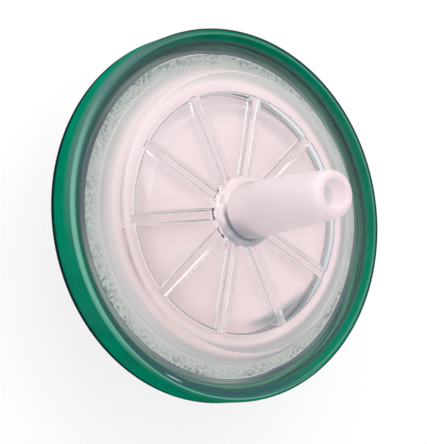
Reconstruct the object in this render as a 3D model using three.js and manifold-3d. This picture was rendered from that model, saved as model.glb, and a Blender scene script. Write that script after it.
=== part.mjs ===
// A disposable 33 mm syringe filter. Two clear moulded halves clamp a white filter disc between
// them, and a green ring is moulded over their joined rims. +Z runs along the flow, from the female
// luer inlet up to the male luer outlet. The origin is the middle of the inlet's flat end, which the
// filter stands on. All sizes are in millimetres.
import * as THREE from 'three';
import { mergeVertices } from 'three/addons/utils/BufferGeometryUtils.js';
import Module from 'manifold-3d';

const wasm = await Module();
wasm.setup();

// ---- Driving dimensions ----

// Green ring over the rim
const ringDiameter = 33.4;
const ringWall = 1.0; // from the rim of the clear halves out to the ring's outside
const ringLip = 0.2; // how far the ring reaches in over the rim, above and below
const ringCrestHeight = 0.85; // above the outlet rim
const ringFootHeight = 0.35; // below the inlet rim
const ringCrestWidth = 0.6;
const ringCrestFall = 0.08; // from the crest's outside edge to its inside edge
const ringLipEdge = 0.1; // bevel of the lips' edges
const ringRounding = 0.35;

// Rims of the clear halves, and the land that clamps the filter disc
const outletRimThickness = 0.95;
const inletRimThickness = 1.2;
const rimMargin = 1.15; // from the edge of the filter disc out to the rim's edge
const landWidth = 1.5;

// Filter disc: a thick white pad, crushed thin under the land
const padEdgeThickness = 0.25;
const padRise = 1.15; // how much higher the middle stands than the crushed edge
const padShoulderRun = 1.45; // radial run of the slope between the two

// Outlet half
const ledgeWidth = 0.6; // flat ring between the pad's shoulder and the chamber
const chamberDepth = 1.2;
const chamberWallRun = 1.45; // radial run of the chamber's sloping wall
const chamberFillet = 0.5; // how far it reaches in along the ceiling
const chamberFilletDrop = 0.15; // and down the wall
const outletWall = 0.9; // over the chamber's ceiling
const coverShoulderRun = 1.3; // radial run of the outside slope down to the rim
const coverFootOffset = 0.4; // from the land's inner edge out to the foot of that slope
const coverRimRun = 0.9; // from the slope's foot out to the flat of the rim
const coverRimFall = 0.05; // from that flat down to the slope's foot

// Radial ribs under both halves
const ribCount = 10;
const ribTurn = 174.3; // degrees from +X to the first rib
const ribWidthAtEdge = 0.8;
const ribWidthAtRoot = 0.95;
const ribStartRadius = 2.65;
const ribOverlap = 0.2; // how far a rib's outer end runs into the wall

// Male luer outlet
const nozzleLength = 12.8; // above the outlet face
const slipLength = 7.5; // the tapered stretch that a luer socket slides over
const slipTipDiameter = 4.1;
const slipRootDiameter = 4.75;
const nozzleBaseDiameter = 5.1;
const nozzleTipRounding = 0.6;
const hubDiameter = 6.2;
const hubHeight = 0.7;
const hubDraft = 0.15;
const hubBevel = 0.28;
const boreDiameter = 2.3;
const boreChamfer = 0.1;

// Inlet half
const inletChamberDepth = 0.7;
const inletWall = 1.05;
const inletWallDraft = 0.3; // from the ceiling's edge out to the land
const inletFaceInset = 0.8; // from the rim's edge in to the raised inlet face
const inletHubDiameter = 8.4;
const inletHubHeight = 1.6;
const socketLength = 9.2; // below the inlet face
const socketDiameter = 6.4; // outside
const luerMouthDiameter = 4.3; // inside, at the open end
const luerTaper = 0.06; // diameter lost for each millimetre of depth
const luerDepth = 7.6;
const mouthChamfer = 0.2;
const lugSpan = 7.8; // across the two lugs
const lugHeight = 1.1;
const lugAngle = 70; // degrees of arc, each

// Clearances and facets
const seatClearance = 0.05;
const facets = 60;
const curveSteps = 6;
const cornerSteps = 3;
const weldDistance = 1e-4;

// ---- Sizes worked out from these ----

const rimRadius = ringDiameter / 2 - ringWall;
const padRadius = rimRadius - rimMargin;
const landRadius = padRadius - landWidth;
const padTopRadius = landRadius - padShoulderRun;
const chamberRadius = padTopRadius - ledgeWidth;
const ceilingRadius = chamberRadius - chamberWallRun;

const inletFaceZ = socketLength;
const inletCeilingZ = inletFaceZ + inletWall;
const padBottomZ = inletCeilingZ + inletChamberDepth;
const landZ = padBottomZ + padEdgeThickness;
const ribFaceZ = landZ + padRise + seatClearance;
const ceilingZ = ribFaceZ + chamberDepth;
const outletFaceZ = ceilingZ + outletWall;
const tipZ = outletFaceZ + nozzleLength;
const outletRimZ = landZ + outletRimThickness;
const inletRimZ = padBottomZ - inletRimThickness;
const boreRadius = boreDiameter / 2;
const hubRadius = hubDiameter / 2;

// ---- Helpers ----

const point = (r, z) => new THREE.Vector2(r, z);

// An S-shaped slope between two heights, level at both ends, without its first point.
function shoulder(r0, z0, r1, z1) {
  const points = [];
  for (let i = 1; i <= curveSteps; i += 1) {
    const t = i / curveSteps;
    const rise = t * t * (3 - 2 * t);
    points.push(point(r0 + (r1 - r0) * t, z0 + (z1 - z0) * rise));
  }
  return points;
}

// A round corner about (r, z), from one angle to another in degrees.
function corner(r, z, radius, from, to) {
  const points = [];
  for (let i = 0; i <= cornerSteps; i += 1) {
    const angle = THREE.MathUtils.degToRad(from + ((to - from) * i) / cornerSteps);
    points.push(point(r + radius * Math.cos(angle), z + radius * Math.sin(angle)));
  }
  return points;
}

// Turns a profile of (radius, height) points about the Z axis.
function turned(points) {
  const geometry = new THREE.LatheGeometry(points, facets);
  geometry.rotateX(Math.PI / 2);
  return geometry;
}

function closedLoop(points) {
  return [...points, points[0].clone()];
}

// A solid for cutting and joining, with shared vertices merged and pole slivers dropped.
function solidOf(geometry) {
  const bare = geometry.clone();
  bare.deleteAttribute('normal');
  bare.deleteAttribute('uv');
  const welded = mergeVertices(bare, weldDistance);
  const corners = welded.index.array;
  const triangles = [];
  for (let i = 0; i < corners.length; i += 3) {
    const [a, b, c] = corners.slice(i, i + 3);
    if (a !== b && b !== c && c !== a) triangles.push(a, b, c);
  }
  return new wasm.Manifold(new wasm.Mesh({
    numProp: 3,
    vertProperties: new Float32Array(welded.attributes.position.array),
    triVerts: new Uint32Array(triangles),
  }));
}

function geometryOf(solid) {
  const mesh = solid.getMesh();
  const geometry = new THREE.BufferGeometry();
  geometry.setAttribute('position', new THREE.BufferAttribute(mesh.vertProperties, 3));
  geometry.setIndex(new THREE.BufferAttribute(mesh.triVerts, 1));
  geometry.computeVertexNormals();
  return geometry;
}

// One radial rib: a drafted bar lying along +X, turned to its place about the axis.
// edgeZ is the height of its narrow free edge, and rootZ lies inside the wall that it grows from.
function rib(turn, endRadius, edgeZ, rootZ) {
  const section = new THREE.Shape([
    point(-ribWidthAtEdge / 2, edgeZ),
    point(ribWidthAtEdge / 2, edgeZ),
    point(ribWidthAtRoot / 2, rootZ),
    point(-ribWidthAtRoot / 2, rootZ),
  ]);
  const bar = new THREE.ExtrudeGeometry(section, {
    depth: endRadius - ribStartRadius,
    bevelEnabled: false,
    steps: 1,
  });
  bar.rotateX(Math.PI / 2);
  bar.rotateZ(Math.PI / 2);
  bar.translate(ribStartRadius, 0, 0);
  bar.rotateZ(THREE.MathUtils.degToRad(turn));
  return bar;
}

function withRibs(body, endRadius, edgeZ, rootZ) {
  let solid = solidOf(body);
  for (let i = 0; i < ribCount; i += 1) {
    const turn = ribTurn - (i * 360) / ribCount;
    solid = solid.add(solidOf(rib(turn, endRadius, edgeZ, rootZ)));
  }
  return solid;
}

function part(name, geometry, look) {
  const mesh = new THREE.Mesh(geometry, new THREE.MeshStandardMaterial(look));
  mesh.name = name;
  return mesh;
}

// ---- The four pieces ----

// Clear outlet half: rim, shoulder, flat face over the chamber, hub and tapered nozzle with its bore.
function outletHalf() {
  const tipRadius = slipTipDiameter / 2;
  const tipRounding = Math.min(nozzleTipRounding, tipRadius - boreRadius - boreChamfer);
  const footRadius = landRadius + coverFootOffset;
  const footZ = outletRimZ - coverRimFall;
  const profile = closedLoop([
    point(boreRadius, ceilingZ),
    point(ceilingRadius - chamberFillet, ceilingZ),
    point(ceilingRadius, ceilingZ - chamberFilletDrop),
    point(chamberRadius, ribFaceZ),
    point(padTopRadius, ribFaceZ),
    ...shoulder(padTopRadius, ribFaceZ, landRadius, landZ),
    point(rimRadius, landZ),
    point(rimRadius, outletRimZ),
    point(footRadius + coverRimRun, outletRimZ),
    point(footRadius, footZ),
    ...shoulder(footRadius, footZ, footRadius - coverShoulderRun, outletFaceZ),
    point(hubRadius, outletFaceZ),
    point(hubRadius - hubDraft, outletFaceZ + hubHeight - hubBevel),
    point(nozzleBaseDiameter / 2, outletFaceZ + hubHeight),
    point(slipRootDiameter / 2, tipZ - slipLength),
    ...corner(tipRadius - tipRounding, tipZ - tipRounding, tipRounding, 0, 90),
    point(boreRadius + boreChamfer, tipZ),
    point(boreRadius, tipZ - boreChamfer),
  ]);
  return withRibs(turned(profile), chamberRadius + ribOverlap, ribFaceZ, ceilingZ + outletWall / 2);
}

// One of the two lugs at the open end of the socket, which a luer lock's collar screws on to.
function lug(turn) {
  const half = THREE.MathUtils.degToRad(lugAngle / 2);
  const outline = new THREE.Shape();
  outline.absarc(0, 0, lugSpan / 2, -half, half, false);
  outline.absarc(0, 0, (socketDiameter + luerMouthDiameter) / 4, half, -half, true);
  const slab = new THREE.ExtrudeGeometry(outline, {
    depth: lugHeight,
    bevelEnabled: false,
    curveSegments: curveSteps,
  });
  slab.rotateZ(turn);
  return slab;
}

// Clear inlet half: rim, raised face, hub, and the female luer socket that the filter stands on.
function inletHalf() {
  const mouthRadius = luerMouthDiameter / 2;
  const socketRadius = socketDiameter / 2;
  const seatRadius = mouthRadius - (luerTaper * luerDepth) / 2;
  const faceRadius = rimRadius - inletFaceInset;
  const hubFoot = inletFaceZ - inletHubHeight;
  const profile = closedLoop([
    point(mouthRadius + mouthChamfer, 0),
    point(socketRadius - mouthChamfer, 0),
    point(socketRadius, mouthChamfer),
    point(socketRadius, hubFoot),
    point(inletHubDiameter / 2, inletFaceZ),
    point(faceRadius, inletFaceZ),
    point(faceRadius, inletRimZ),
    point(rimRadius, inletRimZ),
    point(rimRadius, padBottomZ),
    point(landRadius, padBottomZ),
    point(landRadius - inletWallDraft, inletCeilingZ),
    point(boreRadius, inletCeilingZ),
    point(boreRadius, luerDepth),
    point(seatRadius, luerDepth),
    point(mouthRadius, mouthChamfer),
  ]);
  let solid = withRibs(turned(profile), landRadius + ribOverlap, padBottomZ, inletCeilingZ - inletWall / 2);
  for (const turn of [0, Math.PI]) solid = solid.add(solidOf(lug(turn)));
  return solid;
}

// White filter disc, thick in the middle and crushed thin where the land clamps it.
function filterDisc() {
  const topZ = landZ + padRise;
  return turned([
    point(0, padBottomZ),
    point(padRadius, padBottomZ),
    point(padRadius, landZ),
    point(landRadius - seatClearance, landZ),
    ...shoulder(landRadius - seatClearance, landZ, padTopRadius - seatClearance, topZ),
    point(0, topZ),
  ]);
}

// Green ring moulded over both rims: a channel that grips them, with a raised crest on the outlet side.
function overmouldRing() {
  const outer = ringDiameter / 2;
  const groove = rimRadius + seatClearance;
  const lipRadius = rimRadius - ringLip;
  const crestZ = outletRimZ + ringCrestHeight;
  const footZ = inletRimZ - ringFootHeight;
  return turned(closedLoop([
    point(groove, inletRimZ),
    point(lipRadius, inletRimZ),
    point(lipRadius + ringLipEdge, footZ),
    ...corner(outer - ringRounding, footZ + ringRounding, ringRounding, -90, 0),
    ...corner(outer - ringRounding, crestZ - ringRounding, ringRounding, 0, 90),
    point(outer - ringCrestWidth, crestZ - ringCrestFall),
    point(lipRadius, outletRimZ + ringLipEdge),
    point(lipRadius, outletRimZ),
    point(groove, outletRimZ),
  ]));
}

const clear = { color: 0xf3ecee, roughness: 0.08, metalness: 0, transparent: true, opacity: 0.45 };

const filter = new THREE.Group();
filter.add(part('inlet_half', geometryOf(inletHalf()), { ...clear }));
filter.add(part('filter_membrane', filterDisc(), { color: 0xf4e9ea, roughness: 0.85, metalness: 0 }));
filter.add(part('outlet_half', geometryOf(outletHalf()), { ...clear }));
filter.add(part('overmould_ring', overmouldRing(), { color: 0x008556, roughness: 0.25, metalness: 0 }));

export default filter;
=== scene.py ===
# %% [markdown]
# # A disposable syringe filter
# A syringe filter is a flat plastic capsule that screws on to a syringe. Liquid enters through the
# socket underneath, spreads out in a shallow chamber, soaks through a white filter disc, and is
# gathered again under the ribbed clear cover, which leads it into the tapered nozzle on top.
# This file builds the four pieces that show: the clear outlet half, the clear inlet half, the white
# filter disc between them, and the green ring that is moulded over their rims.

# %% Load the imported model
import math

import bmesh
import bpy
from mathutils import Matrix, Vector


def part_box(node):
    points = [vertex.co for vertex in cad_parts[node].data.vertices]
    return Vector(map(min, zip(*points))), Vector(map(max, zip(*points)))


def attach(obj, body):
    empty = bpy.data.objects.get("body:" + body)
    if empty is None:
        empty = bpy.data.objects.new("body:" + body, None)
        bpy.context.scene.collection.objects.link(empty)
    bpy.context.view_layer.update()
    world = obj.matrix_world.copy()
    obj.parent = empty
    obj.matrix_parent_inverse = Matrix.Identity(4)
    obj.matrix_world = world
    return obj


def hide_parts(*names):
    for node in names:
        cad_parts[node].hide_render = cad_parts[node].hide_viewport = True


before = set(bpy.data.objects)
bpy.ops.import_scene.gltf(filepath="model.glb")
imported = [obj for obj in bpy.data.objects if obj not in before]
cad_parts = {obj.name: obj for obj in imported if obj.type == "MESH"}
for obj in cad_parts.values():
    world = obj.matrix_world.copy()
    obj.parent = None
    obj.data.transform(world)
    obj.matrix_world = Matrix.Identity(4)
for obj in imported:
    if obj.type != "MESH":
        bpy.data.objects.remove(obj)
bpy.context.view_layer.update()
scene = bpy.context.scene
print("CAD nodes:", sorted(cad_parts))

# %% [markdown]
# ## Sizes
# Blender works in metres, and this object is a few centimetres across, so the sizes below are
# millimetres and every mesh is multiplied by MM once, when it is made. The outer sizes come from the
# CAD pieces. The smaller ones, such as walls and radii, follow the same moulding drawing.

# %% Sizes that the CAD pieces give
MM = 0.001


def box_in_mm(node):
    low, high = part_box(node)
    return low / MM, high / MM


ring_low, ring_high = box_in_mm("overmould_ring")
pad_low, pad_high = box_in_mm("filter_membrane")
outlet_low, outlet_high = box_in_mm("outlet_half")

ring_radius = ring_high.x
rim_radius = outlet_high.x
pad_radius = pad_high.x
tip_z = outlet_high.z
land_z = outlet_low.z
pad_top_z = pad_high.z
pad_bottom_z = pad_low.z
print(f"ring radius {ring_radius:.2f} mm, nozzle tip {tip_z:.2f} mm above the bench")

# %% Sizes of the moulding
SEAT_GAP = 0.05
LAND_WIDTH = 1.5
PAD_SHOULDER_RUN = 1.45
LEDGE_WIDTH = 0.6
CHAMBER_DEPTH = 1.2
CHAMBER_WALL_RUN = 1.45
OUTLET_WALL = 0.9
OUTLET_RIM_THICKNESS = 0.95
INLET_RIM_THICKNESS = 1.2
INLET_CHAMBER_DEPTH = 0.7
INLET_WALL = 1.05
INLET_FACE_INSET = 0.8
BORE_RADIUS = 1.15
HUB_RADIUS = 3.1
HUB_HEIGHT = 0.7

land_radius = pad_radius - LAND_WIDTH
pad_top_radius = land_radius - PAD_SHOULDER_RUN
chamber_radius = pad_top_radius - LEDGE_WIDTH
ceiling_radius = chamber_radius - CHAMBER_WALL_RUN
inlet_face_radius = rim_radius - INLET_FACE_INSET
rib_face_z = pad_top_z + SEAT_GAP
ceiling_z = rib_face_z + CHAMBER_DEPTH
cover_z = ceiling_z + OUTLET_WALL
hub_top_z = cover_z + HUB_HEIGHT
outlet_rim_z = land_z + OUTLET_RIM_THICKNESS
inlet_rim_z = pad_bottom_z - INLET_RIM_THICKNESS
inlet_floor_z = pad_bottom_z - INLET_CHAMBER_DEPTH
inlet_face_z = inlet_floor_z - INLET_WALL
print(f"chamber radius {chamber_radius:.2f} mm, cover at {cover_z:.2f} mm")

# %% [markdown]
# ## Camera
# The filter is looked at from 36 degrees off its axis, close enough for some perspective, and the
# camera is rolled so that the nozzle points to the right. A long lens 150 mm away gives that view.
# The camera's place is worked out from these angles, so it can be changed by changing one of them.

# %% Camera
CAMERA_TILT = math.radians(36.2)
CAMERA_ROLL = math.radians(11.0)
CAMERA_DISTANCE = 150.0
CAMERA_LENS = 137.3
CAMERA_CENTRE = Vector((0, 0, land_z + 2.1))
CAMERA_OFFSET = Vector((-2.04, -0.81))


def make_camera():
    back = Vector((-math.sin(CAMERA_TILT), 0, math.cos(CAMERA_TILT)))
    level = Vector((math.cos(CAMERA_TILT), 0, math.sin(CAMERA_TILT)))
    across = back.cross(level)
    right = math.cos(CAMERA_ROLL) * level - math.sin(CAMERA_ROLL) * across
    up = math.sin(CAMERA_ROLL) * level + math.cos(CAMERA_ROLL) * across
    place = CAMERA_CENTRE + CAMERA_DISTANCE * back
    aim = CAMERA_CENTRE + CAMERA_OFFSET.x * right + CAMERA_OFFSET.y * up
    z_axis = (place - aim).normalized()
    x_axis = up.cross(z_axis).normalized()
    y_axis = z_axis.cross(x_axis)
    turn = Matrix((x_axis, y_axis, z_axis)).transposed().to_4x4()
    camera = bpy.data.objects.new("camera", bpy.data.cameras.new("camera"))
    scene.collection.objects.link(camera)
    camera.matrix_world = Matrix.Translation(place * MM) @ turn
    camera.data.lens = CAMERA_LENS
    camera.data.clip_start = 0.005
    camera.data.clip_end = 10
    return camera


scene.camera = make_camera()
print("camera at", [round(v, 4) for v in scene.camera.matrix_world.translation])

# %% [markdown]
# ## Profiles
# All four pieces are round, so each one starts as a profile: a list of (radius, height) points.
# Round corners are arcs, shoulders are smooth slopes, and a bend eases from one straight into the
# next. All are worked out from their ends, so no list of points has to be typed in.

# %% Profile helpers


def arc(centre_r, centre_z, radius, start, end, steps=5):
    points = []
    for i in range(steps + 1):
        angle = math.radians(start + (end - start) * i / steps)
        points.append((centre_r + radius * math.cos(angle), centre_z + radius * math.sin(angle)))
    return points


def slope(start, end, steps=16, eased=True):
    points = []
    for i in range(steps + 1):
        t = i / steps
        rise = t * t * (3 - 2 * t) if eased else t
        points.append((start[0] + (end[0] - start[0]) * t, start[1] + (end[1] - start[1]) * rise))
    return points


def bend(start, corner, end, steps=6):
    points = []
    for i in range(steps + 1):
        t = i / steps
        shares = ((1 - t) * (1 - t), 2 * t * (1 - t), t * t)
        ends = zip(start, corner, end)
        points.append(tuple(sum(s * v for s, v in zip(shares, values)) for values in ends))
    return points


def straight(start, end, steps):
    return slope(start, end, steps, eased=False)


print("a quarter round has", len(arc(0, 0, 1, 0, 90)), "points")

# %% [markdown]
# ## Turned pieces
# The filter disc and the ring are the same all the way round, so their profiles are simply turned
# about the Z axis. A point on the axis becomes one shared vertex, which closes the pole. Shading is
# smooth, apart from edges sharper than 30 degrees, and a Weighted Normal modifier lets the large
# flats keep their own direction, so that only the small rounded corners look round.

# %% Turning a profile, and finishing a mesh
SEGMENTS = 360
SHARP = math.radians(30)
ON_AXIS = 1e-6


def point(bm, r, angle, z):
    return bm.verts.new((r * MM * math.cos(angle), r * MM * math.sin(angle), z * MM))


def new_piece(name, mesh):
    piece = bpy.data.objects.new(name, mesh)
    scene.collection.objects.link(piece)
    return piece


def baked(piece):
    bpy.context.view_layer.update()
    graph = bpy.context.evaluated_depsgraph_get()
    mesh = bpy.data.meshes.new_from_object(piece.evaluated_get(graph))
    piece.modifiers.clear()
    piece.data = mesh


def mesh_of(bm, name):
    bmesh.ops.recalc_face_normals(bm, faces=bm.faces)
    mesh = bpy.data.meshes.new(name)
    bm.to_mesh(mesh)
    bm.free()
    return mesh


def turned(name, profile):
    bm = bmesh.new()
    rings = []
    for r, z in profile:
        count = 1 if r < ON_AXIS else SEGMENTS
        angles = [2 * math.pi * i / count for i in range(count)]
        rings.append([point(bm, r, a, z) for a in angles])
    for a, b in zip(rings, rings[1:] + rings[:1]):
        for i in range(max(len(a), len(b))):
            corners = [a[i % len(a)], b[i % len(b)], b[(i + 1) % len(b)], a[(i + 1) % len(a)]]
            corners = list(dict.fromkeys(corners))
            if len(corners) > 2:
                bm.faces.new(corners)
    return new_piece(name, mesh_of(bm, name))


def finish_shading(piece):
    mesh = piece.data
    mesh.polygons.foreach_set("use_smooth", [True] * len(mesh.polygons))
    mesh.set_sharp_from_angle(angle=SHARP)
    weighted = piece.modifiers.new("flat faces stay flat", "WEIGHTED_NORMAL")
    weighted.keep_sharp = True
    baked(piece)
    triangles = sum(len(p.vertices) - 2 for p in piece.data.polygons)
    print(piece.name, len(piece.data.vertices), "points,", triangles, "triangles")


print("a turned piece has", SEGMENTS, "segments")

# %% [markdown]
# ## Node helpers
# Blender describes repeated shapes and materials as small networks of nodes. Writing each node out
# takes many lines, so short helpers make one node at a time and link what they are given. A group is
# a network with named inputs and outputs, built once and then used wherever it is needed.

# %% Helpers that add nodes


def feed(tree, socket, value):
    if isinstance(value, bpy.types.NodeSocket):
        tree.links.new(value, socket)
    else:
        socket.default_value = value


def fed(tree, made, inputs):
    for name, value in inputs.items():
        feed(tree, made.inputs[name.replace("_", " ")], value)
    return made


def node(tree, kind, **inputs):
    return fed(tree, tree.nodes.new(kind), inputs)


def maths(tree, operation, *values, clamp=False):
    made = tree.nodes.new("ShaderNodeMath")
    made.operation = operation
    made.use_clamp = clamp
    for socket, value in zip(made.inputs, values):
        feed(tree, socket, value)
    return made.outputs[0]


def vectors(tree, operation, *values):
    made = tree.nodes.new("ShaderNodeVectorMath")
    made.operation = operation
    for socket, value in zip(made.inputs, values):
        feed(tree, socket, value)
    return made.outputs


def noise(tree, place, scale, detail):
    return node(tree, "ShaderNodeTexNoise", Vector=place, Scale=scale, Detail=detail).outputs[0]


print("node helpers ready")

# %% A node group with named inputs and outputs


def new_group(name, inputs, outputs, kind="ShaderNodeTree"):
    tree = bpy.data.node_groups.new(name, kind)
    for in_out, sockets in (("INPUT", inputs), ("OUTPUT", outputs)):
        for socket, value in sockets.items():
            tree.interface.new_socket(socket, in_out=in_out, socket_type="NodeSocket" + value)
    given = tree.nodes.new("NodeGroupInput").outputs
    result = tree.nodes.new("NodeGroupOutput").inputs
    return tree, given, result


print("groups are made with", new_group.__name__)

# %% [markdown]
# ## Copies round the axis
# The ribbed halves repeat every 36 degrees, and the inlet's socket has two lugs. Each is one shape
# repeated round the axis, so a small Geometry Nodes tree makes the copies: it puts as many points on
# the axis as there are copies, turns an instance of the shape on each, makes the instances real
# geometry, and merges the seams where two copies meet.

# %% The tree that copies a shape round the axis
SEAM_REACH = 0.002 * MM


def copies_tree():
    tree, given, result = new_group(
        "copies_round_axis",
        {"Shape": "Geometry", "Count": "Int", "First Turn": "Float", "Material": "Material"},
        {"Copies": "Geometry"}, "GeometryNodeTree",
    )
    index = tree.nodes.new("GeometryNodeInputIndex").outputs["Index"]
    step = maths(tree, "DIVIDE", -2 * math.pi, given["Count"])
    turn = maths(tree, "MULTIPLY_ADD", index, step, given["First Turn"])
    rotation = node(tree, "ShaderNodeCombineXYZ", Z=turn).outputs[0]
    points = node(tree, "GeometryNodePoints", Count=given["Count"]).outputs[0]
    copies = node(
        tree, "GeometryNodeInstanceOnPoints", Points=points, Instance=given["Shape"], Rotation=rotation
    )
    real = node(tree, "GeometryNodeRealizeInstances", Geometry=copies.outputs[0])
    merged = node(tree, "GeometryNodeMergeByDistance", Geometry=real.outputs[0], Distance=SEAM_REACH)
    finish = node(tree, "GeometryNodeSetMaterial", Geometry=merged.outputs[0], Material=given["Material"])
    tree.links.new(finish.outputs[0], result["Copies"])
    return tree


def copy_round_axis(piece, count, first_turn, material):
    modifier = piece.modifiers.new("copies", "NODES")
    modifier.node_group = COPIES
    values = {"Count": count, "First Turn": math.radians(first_turn), "Material": material}
    for item in COPIES.interface.items_tree:
        if item.name in values:
            modifier[item.identifier] = values[item.name]
    baked(piece)


COPIES = copies_tree()
print("copying tree has", len(COPIES.nodes), "nodes")

# %% [markdown]
# ## Masks and colours
# Most marks on this part are masks, numbers from 0 to 1 over the surface. `fade` makes one from any
# measure, with a Map Range node, `times` multiplies masks together, and `painted` lays one tone after
# another over a colour, each by its mask and a strength.

# %% Helpers for masks and colours
FIRST_COLOUR = 6
SECOND_COLOUR = 7
MIXED_COLOUR = 2


def fade(tree, value, none, full):
    return node(tree, "ShaderNodeMapRange", Value=value, From_Min=none, From_Max=full).outputs["Result"]


def times(tree, first, *others):
    for other in others:
        first = maths(tree, "MULTIPLY", first, other)
    return first


def ramp(tree, value, *stops):
    made = node(tree, "ShaderNodeValToRGB", Fac=value)
    elements = made.color_ramp.elements
    while len(elements) < len(stops):
        elements.new(1)
    for element, (position, colour) in zip(elements, stops):
        element.position = position
        element.color = (*colour, 1)
    return made.outputs["Color"]


def blend(tree, share, first, second):
    made = tree.nodes.new("ShaderNodeMix")
    made.data_type = "RGBA"
    feed(tree, made.inputs["Factor"], share)
    for number, colour in ((FIRST_COLOUR, first), (SECOND_COLOUR, second)):
        feed(tree, made.inputs[number], (*colour, 1) if isinstance(colour, tuple) else colour)
    return made.outputs[MIXED_COLOUR]


def painted(tree, colour, *coats):
    for mask, strength, tone in coats:
        colour = blend(tree, times(tree, mask, strength), colour, tone)
    return colour


print("mask and colour helpers ready")

# %% [markdown]
# ## Effects that several finishes share
# An effect that more than one finish needs is a node group, built once, with named inputs. Object
# coordinates are metres from the filter's axis, and the first group turns them into the radius and
# height in millimetres and a direction round the axis, which suits marks on a round part. The second
# makes what a mould leaves on plastic: a fine grain, and broad shallow unevenness.

# %% Group: place round the axis


def place_group():
    tree, given, result = new_group(
        "place_round_axis", {"Place": "Vector"},
        {"Radius": "Float", "Height": "Float", "Direction": "Vector"},
    )
    flat = vectors(tree, "MULTIPLY", given["Place"], (1 / MM, 1 / MM, 0))["Vector"]
    split = node(tree, "ShaderNodeSeparateXYZ", Vector=given["Place"])
    tree.links.new(vectors(tree, "LENGTH", flat)["Value"], result["Radius"])
    tree.links.new(maths(tree, "DIVIDE", split.outputs["Z"], MM), result["Height"])
    tree.links.new(vectors(tree, "NORMALIZE", flat)["Vector"], result["Direction"])
    return tree


def placed(tree, group, **inputs):
    made = tree.nodes.new("ShaderNodeGroup")
    made.node_tree = group
    return fed(tree, made, inputs).outputs


PLACE = place_group()
print("group", PLACE.name)

# %% Group: marks of the mould
GRAIN_SCALE = 5200
BROAD_SCALE = 420


def mould_group():
    tree, given, result = new_group(
        "mould_marks", {"Place": "Vector", "Grain Share": "Float"},
        {"Height": "Float", "Tone": "Float"},
    )
    grain = noise(tree, given["Place"], GRAIN_SCALE, 2)
    broad = noise(tree, given["Place"], BROAD_SCALE, 3)
    some = maths(tree, "MULTIPLY", grain, given["Grain Share"])
    tree.links.new(maths(tree, "ADD", broad, some), result["Height"])
    tree.links.new(broad, result["Tone"])
    return tree


MOULD = mould_group()
print("group", MOULD.name)

# %% [markdown]
# ### Sides, bands and streaks
# Plastic bends light and traps it, so each side of the part shows other tones. Those tones are
# painted light and shade, and three more groups place them on the part itself, where they stay when
# it is turned. A side is a soft mask about a bearing, in degrees round the axis, seen from above:
# full within some angle, and nothing beyond a wider one. Sides have compass names, with +X as east
# and +Y as north. A band is the same for any measure, such as the radius. Streaks are noise read
# along the direction and the radius, so they run round the part, as plastic does when it fills a
# round mould.

# %% Group: one side of the part


def side_group():
    tree, given, result = new_group(
        "one_side",
        {"Direction": "Vector", "Bearing": "Float", "Full Within": "Float", "None Beyond": "Float"},
        {"Mask": "Float"},
    )
    bearing = maths(tree, "RADIANS", given["Bearing"])
    east = maths(tree, "COSINE", bearing)
    north = maths(tree, "SINE", bearing)
    middle = node(tree, "ShaderNodeCombineXYZ", X=east, Y=north).outputs[0]
    closeness = vectors(tree, "DOT_PRODUCT", given["Direction"], middle)["Value"]
    none = maths(tree, "COSINE", maths(tree, "RADIANS", given["None Beyond"]))
    full = maths(tree, "COSINE", maths(tree, "RADIANS", given["Full Within"]))
    tree.links.new(fade(tree, closeness, none, full), result["Mask"])
    return tree


def side(tree, where, bearing, full, none):
    return placed(
        tree, SIDE, Direction=where["Direction"], Bearing=bearing, Full_Within=full, None_Beyond=none
    )["Mask"]


SIDE = side_group()
print("group", SIDE.name)

# %% Group: a soft band


def band_group():
    tree, given, result = new_group(
        "soft_band",
        {"Value": "Float", "Centre": "Float", "Full Within": "Float", "None Beyond": "Float"},
        {"Mask": "Float"},
    )
    off = maths(tree, "ABSOLUTE", maths(tree, "SUBTRACT", given["Value"], given["Centre"]))
    tree.links.new(fade(tree, off, given["None Beyond"], given["Full Within"]), result["Mask"])
    return tree


def band(tree, value, centre, full, none):
    return placed(tree, BAND, Value=value, Centre=centre, Full_Within=full, None_Beyond=none)["Mask"]


BAND = band_group()
print("group", BAND.name)

# %% Group: streaks round the part


def streaks_group():
    tree, given, result = new_group(
        "streaks_round_axis",
        {"Direction": "Vector", "Radius": "Float", "Round Share": "Float", "Radius Share": "Float",
         "Scale": "Float", "Detail": "Float"},
        {"Tone": "Float"},
    )
    lengthways = vectors(tree, "MULTIPLY", given["Direction"], given["Round Share"])["Vector"]
    outward = maths(tree, "MULTIPLY", given["Radius"], given["Radius Share"])
    outward = node(tree, "ShaderNodeCombineXYZ", Z=outward).outputs[0]
    place = vectors(tree, "ADD", lengthways, outward)["Vector"]
    tree.links.new(noise(tree, place, given["Scale"], given["Detail"]), result["Tone"])
    return tree


def streaks(tree, where, **shares):
    return placed(tree, STREAKS, Direction=where["Direction"], Radius=where["Radius"], **shares)["Tone"]


STREAKS = streaks_group()
print("group", STREAKS.name)

# %% [markdown]
# ## Materials
# Every finish starts from the Principled shader. What is the same all over a surface, such as how
# strongly it bends light, is a number on the shader itself. What changes over the surface, such as
# colour or roughness, comes from the nodes. Cycles finds it hard to light what lies behind glass, so
# in see-through finishes the rays that only carry light pass straight through, by two Light Path
# mixes, and what is under the plastic is lit almost as if the plastic weren't there.

# %% Helpers for materials


def new_material(name, **values):
    material = bpy.data.materials.new(name)
    material.use_nodes = True
    tree = material.node_tree
    shader = tree.nodes["Principled BSDF"]
    for key, value in values.items():
        shader.inputs[key.replace("_", " ")].default_value = value
    place = tree.nodes.new("ShaderNodeTexCoord").outputs["Object"]
    return material, tree, shader, place, placed(tree, PLACE, Place=place)


def bumped(tree, shader, height, strength, distance):
    bump = node(tree, "ShaderNodeBump", Strength=strength, Distance=distance * MM, Height=height)
    tree.links.new(bump.outputs[0], shader.inputs["Normal"])


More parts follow.
